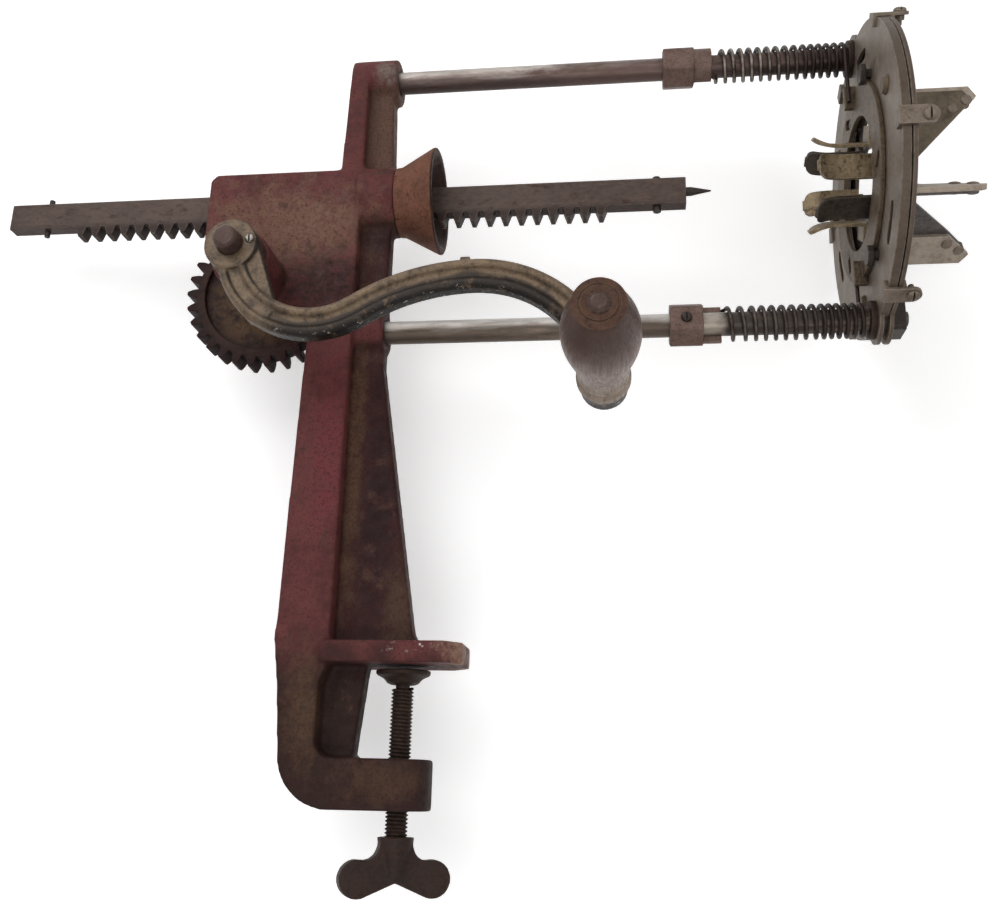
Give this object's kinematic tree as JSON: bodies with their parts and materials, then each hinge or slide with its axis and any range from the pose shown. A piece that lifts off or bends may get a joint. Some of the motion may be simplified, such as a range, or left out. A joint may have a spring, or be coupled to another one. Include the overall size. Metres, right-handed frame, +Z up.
{
  "type": "corn cutter",
  "caption": "Hand-cranked corn cutter on a table clamp: a crank gear drives a toothed rack with an ear spike towards a sprung round head of guide fingers and knives.",
  "frame": {"origin": "on the clamp screw's axis, at the underside of the plate that rests on the table top", "axes": "+Z up, +X along the rack towards the cutting head, crank handle towards -Y"},
  "size_m": [0.5595, 0.2343, 0.466],
  "materials": {
    "frame_paint": "worn dark red paint over brown rusted cast iron",
    "funnel_iron": "orange-brown rusted cast iron",
    "rod_steel": "drawn steel with brown patina",
    "collar_iron": "reddish-brown patina",
    "spring_steel": "blackened spring wire with worn crests",
    "plate_nickel": "tarnished tan nickel plate",
    "dark_steel": "darkened steel fasteners",
    "gear_paint": "worn maroon paint on cast iron",
    "crank_iron": "black-brown cast iron with worn ridges",
    "grip_wood": "weathered grey-brown hardwood",
    "rack_iron": "dark grey-brown cast iron",
    "clamp_steel": "rust-brown screw steel",
    "jaw_steel": "tarnished pressed steel",
    "knife_steel": "blue-grey hardened steel"
  },
  "bodies": {
    "frame": {"frame_casting": "frame_paint", "ear_funnel": "funnel_iron", "neck_screw": "dark_steel", "upper_guide_rod": "rod_steel", "lower_guide_rod": "rod_steel", "upper_collar": "collar_iron", "lower_collar": "collar_iron", "collar_screws": "dark_steel", "upper_spring": "spring_steel", "lower_spring": "spring_steel", "upper_spring_washer": "collar_iron", "lower_spring_washer": "collar_iron", "head_front_plate": "plate_nickel", "head_rear_plate": "plate_nickel", "plate_spacers": "dark_steel", "upper_rod_nut": "dark_steel", "lower_rod_nut": "dark_steel", "rim_clips": "plate_nickel", "rim_clip_screws": "dark_steel", "jaw_pivots": "dark_steel", "ring_keepers": "dark_steel"},
    "crank": {"crank_shaft": "rod_steel", "drive_gear": "gear_paint", "crank_arm": "crank_iron", "crank_screw": "rod_steel", "handle_spindle": "collar_iron", "handle_washer": "collar_iron"},
    "grip": {"handle_grip": "grip_wood"},
    "rack": {"rack_bar": "rack_iron", "rear_stop_pin": "dark_steel", "front_stop_pin": "dark_steel", "ear_spike": "dark_steel"},
    "pad": {"clamp_pad": "collar_iron"},
    "screw": {"clamp_screw": "clamp_steel", "clamp_wing": "clamp_steel"},
    "ring": {"cam_ring": "dark_steel"},
    "jaw_1": {"jaw_1": "jaw_steel", "guide_finger_1": "plate_nickel", "guide_finger_2": "plate_nickel", "knife_arm_1": "plate_nickel", "knife_1": "knife_steel", "knife_rivets_1": "dark_steel"},
    "jaw_2": {"jaw_2": "jaw_steel", "guide_finger_3": "plate_nickel", "guide_finger_4": "plate_nickel", "knife_arm_2": "plate_nickel", "knife_2": "knife_steel", "knife_rivets_2": "dark_steel"},
    "jaw_3": {"jaw_3": "jaw_steel", "guide_finger_5": "plate_nickel", "guide_finger_6": "plate_nickel", "knife_arm_3": "plate_nickel", "knife_3": "knife_steel", "knife_rivets_3": "dark_steel"}
  },
  "joints": [
    {"name": "crank_turn", "type": "hinge", "parent": "frame", "child": "crank", "pos_m": [-0.089, 0, 0.20759], "axis": [0, 1, 0], "range_deg": [-178, 131]},
    {"name": "rack_travel", "type": "slide", "parent": "frame", "child": "rack", "axis": [1, 0, 0], "range_m": [-0.134, 0.099]},
    {"name": "handle_spin", "type": "hinge", "parent": "crank", "child": "grip", "pos_m": [0.10204, -0.1, 0.12833], "axis": [0, 1, 0], "continuous": true},
    {"name": "clamp_travel", "type": "slide", "parent": "frame", "child": "pad", "axis": [0, 0, 1], "range_m": [-0.034, 0.002]},
    {"name": "clamp_turn", "type": "hinge", "parent": "pad", "child": "screw", "pos_m": [0, 0, -0.057], "axis": [0, 0, 1], "range_deg": [-6760, 400]},
    {"name": "cam_ring_turn", "type": "hinge", "parent": "frame", "child": "ring", "pos_m": [0.241, 0, 0.263], "axis": [1, 0, 0], "range_deg": [0, 10], "stiffness_Nm_per_rad": 4, "springref_deg": -17.19, "deforming": ["upper_spring", "lower_spring"]},
    {"name": "jaw_1_swing", "type": "hinge", "parent": "frame", "child": "jaw_1", "pos_m": [0.2461, 0.04667, 0.30967], "axis": [-1, 0, 0], "range_deg": [0, 8]},
    {"name": "jaw_2_swing", "type": "hinge", "parent": "frame", "child": "jaw_2", "pos_m": [0.2461, -0.06375, 0.28008], "axis": [-1, 0, 0], "range_deg": [0, 8]},
    {"name": "jaw_3_swing", "type": "hinge", "parent": "frame", "child": "jaw_3", "pos_m": [0.2461, 0.01708, 0.19925], "axis": [-1, 0, 0], "range_deg": [0, 8]}
  ],
  "couplings": [
    {"joint": "rack_travel", "follows": "crank_turn", "m_per_rad": 0.042972},
    {"joint": "clamp_turn", "follows": "clamp_travel", "rad_per_m": 3463.7},
    {"joint": "jaw_1_swing", "follows": "cam_ring_turn", "ratio": 0.8},
    {"joint": "jaw_2_swing", "follows": "cam_ring_turn", "ratio": 0.8},
    {"joint": "jaw_3_swing", "follows": "cam_ring_turn", "ratio": 0.8}
  ]
}
